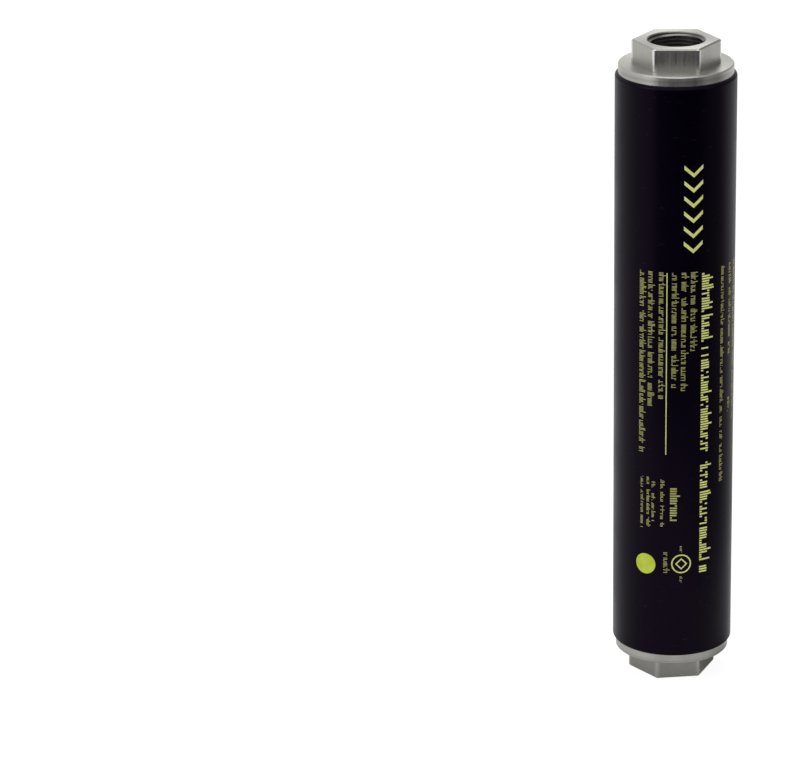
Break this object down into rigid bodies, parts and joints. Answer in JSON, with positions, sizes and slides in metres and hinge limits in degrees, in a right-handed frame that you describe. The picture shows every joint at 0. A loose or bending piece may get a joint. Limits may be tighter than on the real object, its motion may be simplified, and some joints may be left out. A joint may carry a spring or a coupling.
{
  "type": "inline fuel filter",
  "caption": "Slim cylindrical inline fuel filter: black tube rolled over hexagonal fittings with female pipe threads, with a sealed pleated element inside.",
  "frame": {"origin": "centre of the outlet fitting's end face, on which the filter stands", "axes": "+Z along the filter's axis, from the outlet to the inlet; the inlet's hexagon has a flat towards -Y"},
  "size_m": [0.0698, 0.0698, 0.3843],
  "materials": {
    "shell": "satin",
    "fitting": "turned, dull nickel plate",
    "nitrile": "matte",
    "tinplate": "bright, pressed",
    "media": "matte, creased",
    "wire_mesh": "woven wire",
    "sealant": "cast",
    "spring_steel": "blued"
  },
  "bodies": {
    "root": {"shell_tube": "shell", "inlet_fitting": "fitting", "outlet_fitting": "fitting", "inlet_seal_ring": "nitrile", "outlet_seal_ring": "nitrile", "open_end_cap": "tinplate", "closed_end_cap": "tinplate", "outlet_grommet": "nitrile", "core_tube": "tinplate", "pleated_media": "media", "support_mesh": "wire_mesh", "seam_clip": "tinplate", "open_cap_potting": "sealant", "closed_cap_potting": "sealant", "hold_down_spring": "spring_steel"}
  },
  "joints": []
}
